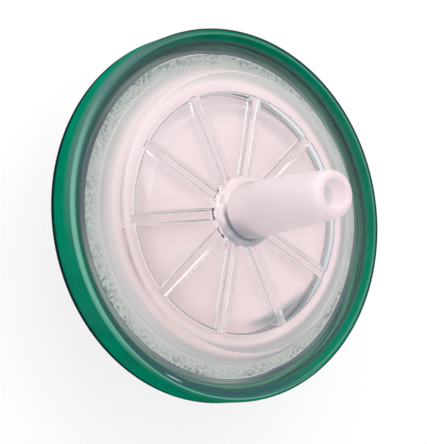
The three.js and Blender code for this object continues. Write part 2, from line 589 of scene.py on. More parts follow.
def let_light_through(tree, shader, passing=1.0):
    path = tree.nodes.new("ShaderNodeLightPath")
    open_air = node(tree, "ShaderNodeBsdfTransparent", Color=(passing, passing, passing, 1))
    surface = shader.outputs[0]
    for ray in ("Is Shadow Ray", "Is Diffuse Ray"):
        mix = tree.nodes.new("ShaderNodeMixShader")
        tree.links.new(path.outputs[ray], mix.inputs[0])
        tree.links.new(surface, mix.inputs[1])
        tree.links.new(open_air.outputs[0], mix.inputs[2])
        surface = mix.outputs[0]
    tree.links.new(surface, tree.nodes["Material Output"].inputs["Surface"])


print("material helpers ready")

# %% [markdown]
# ### Clear plastic
# The two halves are moulded from clear styrene. It is real glass to the shader: fully transmitting,
# with a refractive index of 1.52. A faint unevenness keeps the surface from looking like optical
# glass, and the slope down to the rim is a little duller, as if its mould were less polished there.
# The sides of the ribs and the wall of the chamber are the same plastic, but they pass less of the
# light, so each rib stands in a faint shadow of its own. A steep clear wall shows what lies to its
# side rather than what lies behind it, and on two sides that is dark, so a painted slate reflection
# tints it there.

# %% Clear plastic
GLASS_TONE = ((0.3, (0.985, 0.975, 0.98)), (0.7, (1.0, 0.99, 0.992)))
# Slate painted into the wall's colour, as a painted reflection of dark surroundings.
WALL_REFLECTION_SLATE = (0.26, 0.34, 0.42)
CLEAR_ROUGHNESS = 0.01
UNEVEN_ROUGHNESS = 0.05
SLOPE_ROUGHNESS = 0.2


def clear_plastic(name, passing, tint=0.0):
    material, tree, shader, place, where = new_material(
        name, Transmission_Weight=1, IOR=1.52, Specular_IOR_Level=0.5
    )
    marks = placed(tree, MOULD, Place=place, Grain_Share=0.02)
    # Painted reflection: where the wall is tinted, it turns slate on the north-east and south-east sides.
    north_east = times(tree, side(tree, where, 51.5, 0, 41.4), 0.5)
    south_east = side(tree, where, -68.8, 0, 29.0)
    dark_reflection_sides = maths(tree, "MAXIMUM", north_east, south_east)
    tone = painted(tree, ramp(tree, marks["Tone"], *GLASS_TONE), (dark_reflection_sides, tint, WALL_REFLECTION_SLATE))
    tree.links.new(tone, shader.inputs["Base Color"])
    above_rim = maths(tree, "GREATER_THAN", where["Height"], outlet_rim_z - 0.02)
    on_slope = times(tree, band(tree, where["Radius"], land_radius - 0.05, 0.55, 1.1), above_rim)
    rough = maths(tree, "MULTIPLY_ADD", marks["Tone"], UNEVEN_ROUGHNESS, CLEAR_ROUGHNESS)
    rough = maths(tree, "MULTIPLY_ADD", on_slope, SLOPE_ROUGHNESS, rough)
    tree.links.new(rough, shader.inputs["Roughness"])
    bumped(tree, shader, marks["Height"], 0.12, 0.05)
    let_light_through(tree, shader, passing)
    return material


clear = clear_plastic("clear_styrene", 1.0)
rib_side = clear_plastic("clear_rib_side", 0.72)
wall_side = clear_plastic("clear_wall_side", 0.8, tint=0.9)
print("materials", clear.name, rib_side.name, wall_side.name)

# %% [markdown]
# ### Matt plastic of the nozzle
# The nozzle is the same plastic, but its mould cavity is spark-eroded, which leaves a matt skin that
# blurs what is behind it. More roughness, and only 62 % transmission, give that milky look. Shade is
# painted into its colour: a blue-grey painted shade on the south side of the nozzle's foot, a dark
# line of painted shade in the corner round the foot on the south-west side, and grey painted shade a
# little way into the bore.

# %% Matt plastic
MILKY_TONE = ((0.3, (0.96, 0.81, 0.825)), (0.7, (1.0, 0.86, 0.87)))
FOOT_SHADE = (0.36, 0.42, 0.48)
GROOVE_SHADE = (0.11, 0.12, 0.15)
BORE_SHADE = (0.55, 0.60, 0.58)
GROOVE_RADIUS = 2.6


def matt_plastic():
    material, tree, shader, place, where = new_material("matt_styrene", Transmission_Weight=0.62, IOR=1.5)
    marks = placed(tree, MOULD, Place=place, Grain_Share=0.5)
    # Painted shade: blue-grey on the foot's south side, dark in the corner at the foot on the south-west,
    # grey a little way into the bore.
    foot = maths(tree, "SUBTRACT", where["Height"], hub_top_z)
    shade = times(tree, fade(tree, foot, 2.444, 0.222), side(tree, where, -104.5, 31.8, 69.5))
    foot_corner_shade = times(tree, band(tree, foot, 0.1, 0, 0.3), band(tree, where["Radius"], GROOVE_RADIUS, 0, 0.3))
    foot_corner_shade = maths(tree, "MULTIPLY", foot_corner_shade, 1.5, clamp=True)
    foot_corner_shade = times(tree, foot_corner_shade, side(tree, where, -138.7, 40.5, 68.9))
    in_bore = maths(tree, "LESS_THAN", where["Radius"], BORE_RADIUS + 0.05)
    in_bore = times(tree, in_bore, fade(tree, where["Height"], tip_z - 1.7, tip_z - 2.1))
    tone = painted(
        tree, ramp(tree, marks["Tone"], *MILKY_TONE),
        (shade, 0.95, FOOT_SHADE), (foot_corner_shade, 1.0, GROOVE_SHADE), (in_bore, 0.7, BORE_SHADE),
    )
    tree.links.new(tone, shader.inputs["Base Color"])
    rough = maths(tree, "MULTIPLY_ADD", marks["Tone"], 0.1, 0.3)
    tree.links.new(rough, shader.inputs["Roughness"])
    bumped(tree, shader, marks["Height"], 0.04, 0.02)
    let_light_through(tree, shader)
    return material


matt = matt_plastic()
print("material", matt.name)

# %% [markdown]
# ### Weld band, with painted shade
# The halves are welded together outside the filter disc, before the ring is moulded over them. The
# welded face is dull, and its dark slate is painted shade, which shows through the clear rim as a
# dark band. Further out, some of the ring's hot green plastic is taken to have run in between the
# rims, in streaks round the part.

# %% Weld band
WELD_SHADE_TEAL = ((0.35, (0.17, 0.22, 0.22)), (0.65, (0.31, 0.36, 0.35)))
WELD_SHADE_PLUM = ((0.35, (0.07, 0.10, 0.12)), (0.65, (0.125, 0.165, 0.19)))
RUN_IN_GREEN = ((0.35, (0.02, 0.07, 0.065)), (0.65, (0.09, 0.30, 0.21)))
WELD_WIDTH = 0.4
RUN_IN_FADE = 0.167


def weld_band_and_shade():
    material, tree, shader, _, where = new_material("weld_band_and_shade", Roughness=0.5, Specular_IOR_Level=0.3)
    tone = streaks(tree, where, Round_Share=1.6, Radius_Share=5.0, Scale=1.5, Detail=3)
    plum_share = fade(tree, noise(tree, where["Direction"], 0.9, 1), 0.4, 0.6)
    # Painted shade: the dark slate of the welded face, in teal and plum.
    slate = blend(tree, plum_share, ramp(tree, tone, *WELD_SHADE_TEAL), ramp(tree, tone, *WELD_SHADE_PLUM))
    inner = pad_radius + WELD_WIDTH
    run_in = fade(tree, where["Radius"], inner, inner + RUN_IN_FADE)
    colour = blend(tree, run_in, slate, ramp(tree, tone, *RUN_IN_GREEN))
    tree.links.new(colour, shader.inputs["Base Color"])
    return material


weld_and_shade = weld_band_and_shade()
print("material", weld_and_shade.name)

# %% [markdown]
# ### Filter disc
# The disc is a white fibre pad. Its middle is soft and even, a touch pink. Light and shade are
# painted into its colour: darker on the south-west side and lighter on the north side, a broken dark
# line of painted shade where the edge of the chamber presses into it, painted slate shadows under the
# chamber's wall, painted grey shade inside the wall on the north-east, and a painted lighter band on
# the south side of the shoulder. Its edge is crushed hard by the land of the cover: there the fibres
# turn grey, mottled, and show the green of the ring in small specks. Both are noise on object
# coordinates, because fibres have no direction, and masks by radius say where each one shows.

# %% Soft middle of the filter disc
SOFT_TONE = ((0.3, (0.80, 0.645, 0.64)), (0.7, (0.86, 0.70, 0.70)))
DISC_SOUTH_WEST_SHADE = (0.66, 0.52, 0.51)
DISC_NORTH_LIGHT = (0.95, 0.80, 0.82)
WALL_SHADOW = (0.25, 0.31, 0.33)
DISC_NORTH_EAST_SHADE = (0.52, 0.50, 0.50)
CREASE_SHADE_LINE = (0.22, 0.19, 0.19)


def soft_middle(tree, where, place):
    radius = where["Radius"]
    cloud = noise(tree, place, 260, 4)
    outer_part = fade(tree, radius, 3.57, 10.71)
    # Painted shade on the south-west of the middle, and painted light on the north.
    south_west_shade = times(tree, side(tree, where, -153.9, 29.0, 75.5), outer_part)
    north_light = times(tree, side(tree, where, 110.4, 35.7, 79.2), outer_part)
    shadow = band(tree, radius, chamber_radius - 0.75, 0, 0.85)
    shadow = times(tree, shadow, side(tree, where, -74.3, 0, 23.6))
    shadow = maths(tree, "MULTIPLY", shadow, 1.5, clamp=True)
    # Painted shadow: a soft grey band inside the chamber's wall on the north-east.
    north_east_shade = times(tree, band(tree, radius, ceiling_radius - 0.2, 0, 0.8), side(tree, where, 56.5, 0, 36.9))
    # Painted shade: a broken dark line where the chamber's edge presses on the pad.
    crease_shade = times(tree, band(tree, radius, chamber_radius - 0.08, 0, 0.0714), fade(tree, cloud, 0.3, 0.55))
    return painted(
        tree, ramp(tree, cloud, *SOFT_TONE),
        (south_west_shade, 0.6, DISC_SOUTH_WEST_SHADE), (north_light, 0.5, DISC_NORTH_LIGHT), (shadow, 0.65, WALL_SHADOW),
        (north_east_shade, 0.5, DISC_NORTH_EAST_SHADE), (crease_shade, 1.0, CREASE_SHADE_LINE),
    )


print("soft middle out to", round(chamber_radius, 2), "mm")

# %% Crushed edge of the filter disc
CRUSH_TONE = (
    (0, (0.80, 0.67, 0.66)), (0.35, (0.70, 0.65, 0.64)), (0.7, (0.50, 0.52, 0.49)), (1, (0.32, 0.38, 0.35))
)
SPECK_TONE = ((0.35, (0.10, 0.18, 0.155)), (0.5, (0.31, 0.37, 0.34)))
MOTTLE_TONE = (0.62, 0.63, 0.59)
CRUSH_START = land_radius - 1.9


def crushed_edge(tree, radius, place):
    blot = noise(tree, place, 3800, 4)
    wander = maths(tree, "MULTIPLY_ADD", blot, 2.0, -1.0)
    across = fade(tree, maths(tree, "ADD", radius, wander), CRUSH_START, pad_radius)
    mottle = times(tree, fade(tree, blot, 0.333, 0.75), across)
    crowded = fade(tree, noise(tree, place, 380, 2), 0.3, 0.55)
    specks = times(tree, fade(tree, blot, 0.51, 0.41), crowded, fade(tree, across, 0.444, 1.0))
    return painted(
        tree, ramp(tree, across, *CRUSH_TONE),
        (mottle, 1.0, MOTTLE_TONE), (specks, 1.0, ramp(tree, blot, *SPECK_TONE)),
    )


print("crushed edge from", round(CRUSH_START, 2), "mm")

# %% Filter disc finish
SHOULDER_PAINTED_LIGHT = (1.0, 0.93, 0.91)


def filter_white():
    material, tree, shader, place, where = new_material(
        "filter_fibre", Roughness=0.85, Specular_IOR_Level=0.2
    )
    radius = where["Radius"]
    edge_share = fade(tree, radius, land_radius - 2.0, land_radius - 0.571)
    colour = blend(tree, edge_share, soft_middle(tree, where, place), crushed_edge(tree, radius, place))
    shoulder = band(tree, radius, land_radius - 0.6, 0, 0.8)
    # Painted light: the shoulder is lighter on the south side, against the shade of its slope.
    south_shoulder_light = times(tree, shoulder, side(tree, where, -98.6, 44.9, 97.2))
    tree.links.new(painted(tree, colour, (south_shoulder_light, 0.75, SHOULDER_PAINTED_LIGHT)), shader.inputs["Base Color"])
    bumped(tree, shader, noise(tree, place, 7000, 3), 0.25, 0.05)
    return material


white = filter_white()
print("material", white.name)

# %% [markdown]
# ### Green ring
# The ring is a see-through green plastic, thick enough to look solid, so it is an opaque finish with
# a thin clear coat on its crest. Its light and shade are painted into the colour: darker streaks run
# round the part, painted mint and pale highlights lie along the crest on the west and south-west, a
# painted highlight line on the east and one painted glint, painted slate shade on the north-west and
# south-west, and nearly black painted shade along the foot, inside the crest on the west and at the
# crest's outer edge on the east. The thin lip is darker slate all round. All of these are coats of
# one tone each, laid over the green in turn, and each has a mask made of sides, bands and fades.

# %% Tones of the green ring
GREEN_TONE = ((0.3, (0.0, 0.16, 0.085)), (0.7, (0.0, 0.205, 0.11)))
# Apart from the green, its streaks and the lip, these tones are painted light: the slates and the blacks are
# painted shade, and the mint, pale, east and glint tones are painted highlights.
STREAK_GREEN = (0.03, 0.10, 0.09)
RING_NORTH_WEST_SHADE = (0.085, 0.165, 0.155)
RING_SOUTH_WEST_SHADE = (0.035, 0.09, 0.10)
CREST_HIGHLIGHT_MINT = (0.20, 0.46, 0.37)
SOUTH_WEST_HIGHLIGHT = (0.25, 0.50, 0.42)
WEST_INNER_SHADE = (0.0, 0.055, 0.035)
FOOT_SHADE_BLACK = (0.003, 0.02, 0.019)
EAST_HIGHLIGHT = (0.16, 0.42, 0.33)
GLINT = (0.62, 0.64, 0.78)
RIM_SHADE_BLACK = (0.006, 0.035, 0.032)
LIP_SLATE = (0.05, 0.11, 0.10)
print("ring tones ready")

# %% Coats of the green ring
CREST_DEPTH = 0.22


def ring_coats(tree, where):
    radius = where["Radius"]
    height = where["Height"]
    north_west = side(tree, where, 134.6, 19.5, 48.9)
    south_west = side(tree, where, -116.6, 25.8, 55.5)
    west = side(tree, where, 180.0, 0, 48.2)
    east = side(tree, where, 12.5, 78.5, 107.5)
    crest = maths(tree, "GREATER_THAN", height, ring_high.z - CREST_DEPTH)
    inner_slope = fade(tree, radius, ring_radius - 0.36, ring_radius - 0.485)
    upper_part = fade(tree, height, ring_high.z - 1.5, ring_high.z - 0.591)
    lines = streaks(tree, where, Round_Share=1.0, Radius_Share=7.0, Scale=1.6, Detail=2)
    # Painted shade: slate on the north-west inner slope and upper part, and on the south-west inner slope.
    north_west_shade = times(tree, north_west, maths(tree, "MAXIMUM", inner_slope, upper_part))
    # Painted highlights along the crest, on the west and on the south-west.
    west_crest_highlight = times(tree, band(tree, radius, ring_radius - 0.2, 0.069, 0.3), crest, west)
    south_west_highlight = times(tree, band(tree, radius, ring_radius - 0.3, 0, 0.1), crest, south_west)
    # Painted shade: nearly black inside the crest on the west, and along the foot all round.
    west_inner_shade = times(tree, band(tree, radius, ring_radius - 0.62, 0, 0.2), west)
    foot = fade(tree, maths(tree, "SUBTRACT", height, ring_low.z), 0.867, 0.644)
    # Painted highlight on the east, and a painted glint on the south-west.
    east_highlight = times(tree, band(tree, radius, ring_radius - 0.5, 0, 0.12), east)
    glint = band(tree, radius, ring_radius - 0.75, 0, 0.14)
    glint = times(tree, glint, side(tree, where, -126.0, 0, 3.62))
    # Painted shade: a nearly black line at the crest's outer edge on the east.
    widened = maths(tree, "MULTIPLY_ADD", side(tree, where, 11.7, 29.9, 78.5), 0.2, radius)
    east_rim_shade = fade(tree, widened, ring_radius - 0.25, ring_radius - 0.15)
    east_rim_shade = times(tree, east_rim_shade, maths(tree, "GREATER_THAN", height, ring_high.z - 0.4), east)
    lip = fade(tree, radius, rim_radius + 0.15, rim_radius - 0.1)
    return (
        (fade(tree, lines, 0.48, 0.68), 0.55, STREAK_GREEN), (north_west_shade, 0.8, RING_NORTH_WEST_SHADE),
        (times(tree, south_west, inner_slope), 0.9, RING_SOUTH_WEST_SHADE), (west_crest_highlight, 0.7, CREST_HIGHLIGHT_MINT),
        (south_west_highlight, 0.6, SOUTH_WEST_HIGHLIGHT), (west_inner_shade, 1.0, WEST_INNER_SHADE), (foot, 1.0, FOOT_SHADE_BLACK),
        (east_highlight, 0.45, EAST_HIGHLIGHT), (glint, 1.0, GLINT), (east_rim_shade, 1.0, RIM_SHADE_BLACK),
        (lip, 1.0, LIP_SLATE),
    )


print("ring coats are laid by", ring_coats.__name__)

# %% Green plastic
CREST_COAT = 0.25


def green_plastic():
    material, tree, shader, place, where = new_material(
        "green_plastic", IOR=1.5, Roughness=0.25, Specular_IOR_Level=0.0, Coat_Roughness=0.08
    )
    marks = placed(tree, MOULD, Place=place, Grain_Share=0.2)
    colour = painted(tree, ramp(tree, marks["Tone"], *GREEN_TONE), *ring_coats(tree, where))
    tree.links.new(colour, shader.inputs["Base Color"])
    crest = maths(tree, "GREATER_THAN", where["Height"], ring_high.z - CREST_DEPTH)
    tree.links.new(times(tree, crest, CREST_COAT), shader.inputs["Coat Weight"])
    bumped(tree, shader, marks["Height"], 0.06, 0.05)
    return material


green = green_plastic()
print("material", green.name)

# %% [markdown]
# ## Ribbed halves
# Both clear halves carry ten radial ribs that hold the filter disc and leave channels between them.
# Cutting ribs with booleans leaves thin sliver faces, and slivers show as wavy lines in clear
# plastic. So one tenth of a half is built instead, as a grid: its rows follow the profile, and its
# columns follow the sides of the rib. The height of each grid point is the wall of the chamber or
# the surface of the rib, whichever is nearer to the disc, with a small fillet between the two.

# %% Section of a rib, from its middle out to the floor of the channel
RIB_COUNT = 10
RIB_TURN = 174.3
RIB_START = 2.65
RIB_FLAT = 0.1
RIB_HALF = 0.4
RIB_ROOT_HALF = 0.46
RIB_EDGE = 0.16
RIB_FILLET = 0.22
CHANNEL_COLUMNS = 7
SECTOR_HALF = math.pi / RIB_COUNT


def rib_section(depth):
    edge = arc(RIB_HALF - RIB_EDGE, RIB_EDGE, RIB_EDGE, 270, 355)
    root = arc(RIB_ROOT_HALF + RIB_FILLET, depth - RIB_FILLET, RIB_FILLET, 175, 90)
    return [(0, 0), (RIB_FLAT, 0), *edge, *root]


def depth_beside(section, sideways):
    if sideways <= 0:
        return 0
    for (y0, h0), (y1, h1) in zip(section, section[1:]):
        if sideways <= y1:
            return h0 + (h1 - h0) * (sideways - y0) / (y1 - y0)
    return section[-1][1]


print("rib section has", len(rib_section(CHAMBER_DEPTH)), "columns")

# %% Heights and columns of the grid
BLEND = 0.08
NARROWEST = math.sin(math.radians(14.5))


def soft_min(a, b, reach=BLEND):
    near = max(reach - abs(a - b), 0) / reach
    return min(a, b) - near * near * reach / 4


def soft_max(a, b):
    return -soft_min(-a, -b)


def column_angles(section, radius, ribbed):
    count = len(section) + CHANNEL_COLUMNS
    if not ribbed:
        return [SECTOR_HALF * i / (count - 1) for i in range(count)]
    widest = section[-1][0]
    squeeze = min(1, radius * NARROWEST / widest)
    angles = [math.asin(y * squeeze / radius) for y, _ in section]
    last = angles[-1]
    for i in range(1, CHANNEL_COLUMNS + 1):
        angles.append(last + (SECTOR_HALF - last) * i / CHANNEL_COLUMNS)
    return angles


def rib_depths(section, radius, wall_depth, end_depth):
    depths = [soft_min(soft_max(h, end_depth(radius)), wall_depth) for _, h in section]
    return depths + [wall_depth] * CHANNEL_COLUMNS


print("columns in a tenth:", 2 * (len(rib_section(1)) + CHANNEL_COLUMNS) - 1)

# %% One tenth of a ribbed half


def tenth(name, rows, section, face_z, away, end_depth):
    bm = bmesh.new()
    grid = []
    for radius, height, ribbed in rows:
        angles = column_angles(section, radius, ribbed)
        heights = [height] * len(angles)
        if ribbed:
            depths = rib_depths(section, radius, abs(height - face_z), end_depth)
            heights = [face_z + away * d for d in depths]
        line = [(-a, z) for a, z in zip(angles, heights)][:0:-1] + list(zip(angles, heights))
        grid.append([point(bm, radius, a, z) for a, z in line])
    for a, b in zip(grid, grid[1:] + grid[:1]):
        for i in range(len(a) - 1):
            bm.faces.new((a[i], a[i + 1], b[i + 1], b[i]))
    return new_piece(name, mesh_of(bm, name))


def whole_from_tenth(piece, material):
    copy_round_axis(piece, RIB_COUNT, RIB_TURN, material)
    bm = bmesh.new()
    bm.from_mesh(piece.data)
    piece.data = mesh_of(bm, piece.name)
    piece.data.materials.clear()
    piece.data.materials.append(material)


def plain(*points):
    return [(r, z, False) for r, z in points]


def under_ribs(*points):
    return [(r, z, True) for r, z in points]


def rib_end_rows(start, section, height):
    radii = [start + RIB_HALF - y for y, _ in section[2:]]
    return [(r, height) for r in sorted(radii)]


print("rows are marked as plain or under the ribs")

# %% [markdown]
# ### Outlet half
# The cover is flat over the chamber, slopes down to the rim, and carries the nozzle on a low hub.
# The chamber's wall is steep at its foot and flatter above, with a rounded knee between the two.
# Each rib ends in a low step beside the bore, so there are extra rows where the rib and its step
# begin. The nozzle is 4.75 mm across 7.5 mm behind its tip and 4.1 mm at the tip, a taper of about
# 9 %, which is steeper than the 6 % of the luer standard.

# %% Outlet half: the wall of the chamber
KNEE_RUN = 0.2
KNEE_RISE = 0.72
KNEE_ROUND = 0.2
KNEE_FOOT_SHARE = 0.2
CEILING_ROUND = 0.3


def chamber_wall():
    knee = (chamber_radius - KNEE_RUN, rib_face_z + KNEE_RISE)
    corner = (ceiling_radius, ceiling_z)
    middle = ((knee[0] + corner[0]) / 2, (knee[1] + corner[1]) / 2)
    upper_slant = (corner[1] - knee[1]) / (knee[0] - corner[0])
    before_knee = (knee[0] - KNEE_ROUND, knee[1] + KNEE_ROUND * upper_slant)
    after_knee = (knee[0] + KNEE_FOOT_SHARE * KNEE_RUN, knee[1] - KNEE_FOOT_SHARE * KNEE_RISE)
    return [
        *bend((ceiling_radius - CEILING_ROUND, ceiling_z), corner, middle),
        *bend(before_knee, knee, after_knee),
        (chamber_radius, rib_face_z),
    ]


print("chamber wall has", len(chamber_wall()), "rows")

# %% Outlet half: the ends of the ribs
STEP_START = 1.85
STEP_DEPTH = 0.8
BORE_CLEARANCE = 0.05
outlet_section = rib_section(CHAMBER_DEPTH)


def outlet_rib_end(radius):
    rib = depth_beside(outlet_section, RIB_HALF + RIB_START - radius)
    step = STEP_DEPTH + depth_beside(outlet_section, RIB_HALF + STEP_START - radius)
    return min(rib, step)


def outlet_end_rows():
    step_rows = rib_end_rows(STEP_START, outlet_section, ceiling_z)
    step_rows = [row for row in step_rows if row[0] > BORE_RADIUS + BORE_CLEARANCE]
    return step_rows + rib_end_rows(RIB_START, outlet_section, ceiling_z)


print("rows at the ends of the ribs:", len(outlet_end_rows()))

# %% Outlet half: the profile
COVER_SLOPE = 1.25
COVER_FOOT_RUN = 0.55
COVER_FOOT_DROP = 0.05
COVER_RIM_RUN = 0.9
RIB_ROW_RADII = (3.6, 6.0, 8.3)
HUB_FILLET = 0.15
HUB_ROUND = 0.35
HUB_ROUND_DROP = 0.4
FOOT_FILLET = 0.25
NOZZLE_FOOT_RADIUS = 2.55
NECK_RADIUS = 2.5
NECK_RISE = 0.5
SLIP_LENGTH = 7.5
SLIP_ROOT_RADIUS = 2.375
SLIP_TIP_RADIUS = 2.05
TIP_ROUND = 0.6
BORE_ROUND = 0.15


def cover_rows():
    foot = (land_radius + COVER_FOOT_RUN, outlet_rim_z - COVER_FOOT_DROP)
    return plain(
        (pad_radius + SEAT_GAP, land_z), (rim_radius, land_z), (rim_radius, outlet_rim_z),
        (foot[0] + COVER_RIM_RUN, outlet_rim_z), *slope(foot, (foot[0] - COVER_SLOPE, cover_z)),
    )


def nozzle_rows():
    return plain(
        *arc(HUB_RADIUS + HUB_FILLET, cover_z + HUB_FILLET, HUB_FILLET, 270, 180, 4),
        *arc(HUB_RADIUS - HUB_ROUND, hub_top_z - HUB_ROUND_DROP, HUB_ROUND, 0, 70, 6),
        *arc(NOZZLE_FOOT_RADIUS + FOOT_FILLET, hub_top_z + FOOT_FILLET, FOOT_FILLET, 270, 180, 4),
        *straight((NECK_RADIUS, hub_top_z + NECK_RISE), (SLIP_ROOT_RADIUS, tip_z - SLIP_LENGTH), 2),
        *arc(SLIP_TIP_RADIUS - TIP_ROUND, tip_z - TIP_ROUND, TIP_ROUND, 3, 90, 8),
        *arc(BORE_RADIUS + BORE_ROUND, tip_z - BORE_ROUND, BORE_ROUND, 90, 180, 3),
    )


def outlet_rows():
    return [
        *plain((BORE_RADIUS, ceiling_z)),
        *under_ribs(*outlet_end_rows(), *[(r, ceiling_z) for r in RIB_ROW_RADII], *chamber_wall()),
        *plain(*slope((pad_top_radius, rib_face_z), (land_radius, land_z))),
        *cover_rows(),
        *nozzle_rows(),
    ]


print("outlet profile has", len(outlet_rows()), "rows")

# %% Outlet half
HAIR = 0.05
WELD_REACH = 0.01
COVER_REACH = 0.02
SIDE_STEEPNESS = 0.7
OUTLET_FINISHES = (clear, matt, weld_and_shade, rib_side, wall_side)


def outlet_finish(face):
    centre = face.center / MM
    radius = math.hypot(centre.x, centre.y)
    sideways = abs(face.normal.y * centre.x - face.normal.x * centre.y) / radius
    if rib_face_z + HAIR < centre.z < ceiling_z - HAIR:
        if sideways > SIDE_STEEPNESS:
            return rib_side
        if radius > ceiling_radius:
            return wall_side
    if radius > pad_radius + SEAT_GAP and abs(centre.z - land_z) < WELD_REACH:
        return weld_and_shade
    if centre.z > cover_z + COVER_REACH and radius < HUB_RADIUS + HAIR:
        return matt
    return clear


outlet = tenth("clear_outlet_half", outlet_rows(), outlet_section, rib_face_z, 1, outlet_rib_end)
whole_from_tenth(outlet, clear)
for finish in OUTLET_FINISHES[1:]:
    outlet.data.materials.append(finish)
for face in outlet.data.polygons:
    face.material_index = OUTLET_FINISHES.index(outlet_finish(face))
finish_shading(outlet)

# %% [markdown]
# ### Inlet half
# The lower half is the same kind of shape upside down: ribs that face up to the disc, and a socket
# with a 6 % luer taper below. Two lugs at the socket's open end screw into a syringe's locking
# collar. They are made once, copied with the same tree, and joined to the socket by a boolean.

# %% Inlet half: the profile
SOCKET_RADIUS = 3.2
SOCKET_ROUND = 0.2
SOCKET_NECK = 1.6
MOUTH_RADIUS = 2.15
MOUTH_BEVEL = 0.2
LUER_DEPTH = 7.6
LUER_NARROWING = 0.03
CONE_TOP_RADIUS = 4.2
CONE_STEP = (0.05, 0.1)
FACE_ROUND = 0.15
INLET_RIB_RADII = (9, 5, 3.6)
inlet_section = rib_section(INLET_CHAMBER_DEPTH)
seat_radius = MOUTH_RADIUS - LUER_NARROWING * LUER_DEPTH


def inlet_rib_end(radius):
    return depth_beside(inlet_section, RIB_HALF + RIB_START - radius)


def socket_rows():
    neck_z = inlet_face_z - SOCKET_NECK
    cone_foot = (SOCKET_RADIUS + CONE_STEP[0], neck_z + CONE_STEP[1])
    return plain(
        (MOUTH_RADIUS + MOUTH_BEVEL, 0),
        *arc(SOCKET_RADIUS - SOCKET_ROUND, SOCKET_ROUND, SOCKET_ROUND, 270, 360, 4),
        (SOCKET_RADIUS, neck_z),
        *slope(cone_foot, (CONE_TOP_RADIUS, inlet_face_z - CONE_STEP[1]), 8),
        *arc(inlet_face_radius - FACE_ROUND, inlet_face_z + FACE_ROUND, FACE_ROUND, 270, 360, 4),
    )


def inlet_wall():
    top = (land_radius - 0.05, pad_bottom_z - 0.1)
    return straight(top, (land_radius - 0.3, inlet_floor_z), 6) + [(land_radius - 0.6, inlet_floor_z)]


def inlet_rows():
    ends = rib_end_rows(RIB_START, inlet_section, inlet_floor_z)
    return [
        *socket_rows(),
        *plain((inlet_face_radius, inlet_rim_z), (rim_radius, inlet_rim_z), (rim_radius, pad_bottom_z)),
        *plain((land_radius, pad_bottom_z)),
        *under_ribs(*inlet_wall(), *[(r, inlet_floor_z) for r in INLET_RIB_RADII], *ends[::-1]),
        *plain((BORE_RADIUS, inlet_floor_z), (BORE_RADIUS, LUER_DEPTH), (seat_radius, LUER_DEPTH)),
        *plain((MOUTH_RADIUS, MOUTH_BEVEL)),
    ]


print("inlet profile has", len(inlet_rows()), "rows")

# %% Inlet half: the lugs
LUG_HALF_TURN = math.radians(35)
LUG_RADIUS = 3.9
LUG_HEIGHT = 1.1
LUG_BEVEL = 0.12
LUG_STEPS = 14


def lug_section():
    inside = (SOCKET_RADIUS + MOUTH_RADIUS) / 2
    bevelled = LUG_RADIUS - LUG_BEVEL
    return [
        (inside, 0), (bevelled, 0), (LUG_RADIUS, LUG_BEVEL),
        (LUG_RADIUS, LUG_HEIGHT - LUG_BEVEL), (bevelled, LUG_HEIGHT), (inside, LUG_HEIGHT),
    ]


def lug():
    bm = bmesh.new()
    section = lug_section()
    lines = []
    for i in range(LUG_STEPS + 1):
        a = -LUG_HALF_TURN + 2 * LUG_HALF_TURN * i / LUG_STEPS
        lines.append([point(bm, r, a, z) for r, z in section])
    for a, b in zip(lines, lines[1:]):
        for i in range(len(section)):
            j = (i + 1) % len(section)
            bm.faces.new((a[i], a[j], b[j], b[i]))
    bm.faces.new(lines[0])
    bm.faces.new(lines[-1])
    return new_piece("lugs", mesh_of(bm, "lugs"))


print("a lug has", len(lug_section()), "corners")

# %% Inlet half


def join_solids(piece, other):
    modifier = piece.modifiers.new("join", "BOOLEAN")
    modifier.operation = "UNION"
    modifier.solver = "EXACT"
    modifier.object = other
    baked(piece)
    bpy.data.objects.remove(other)


inlet = tenth("clear_inlet_half", inlet_rows(), inlet_section, pad_bottom_z, -1, inlet_rib_end)
whole_from_tenth(inlet, clear)
lugs = lug()
copy_round_axis(lugs, 2, 0, clear)
join_solids(inlet, lugs)
finish_shading(inlet)

# %% [markdown]
# ### Filter disc
# A pad about 1.4 mm thick in the middle. The land squeezes its edge down to a quarter of a
# millimetre, and a smooth shoulder joins the two. The disc is pressed a hair into the cover where the
# two touch, so that no thin film of air shows between them.

# %% Filter disc
CONTACT = 0.02
CONTACT_EDGE = (0.01, 0.2)
DISC_ROW_RADII = (8, 4, 0)


def disc_profile():
    pressed_z = rib_face_z + CONTACT
    pressed_land = land_z + CONTACT
    return [
        (0, pad_bottom_z), (land_radius, pad_bottom_z), (pad_radius, pad_bottom_z),
        (pad_radius, pressed_land),
        *slope((land_radius, pressed_land), (pad_top_radius, pressed_z), 20),
        (chamber_radius - CONTACT_EDGE[0], pressed_z), (chamber_radius - CONTACT_EDGE[1], pad_top_z),
        *[(r, pad_top_z) for r in DISC_ROW_RADII],
    ]


disc = turned("filter_disc", disc_profile())
disc.data.materials.append(white)
finish_shading(disc)

# %% [markdown]
# ### Green ring
# The ring is moulded over the welded rims and grips them top and bottom. On the outlet side it rises
# to a crest with rounded shoulders, and its inner face slopes down in a shallow hollow to a thin lip.

# %% Green ring
LIP_OVERLAP = 0.2
LIP_TAPER = 0.1
CREST_ROUND = 0.35
CREST_WIDTH = 0.62
INNER_ROUND = 0.12
INNER_ROUND_RUN = 0.1
HOLLOW_RADIUS = 0.72
HOLLOW_OFFSET = (0.05, 0.1)


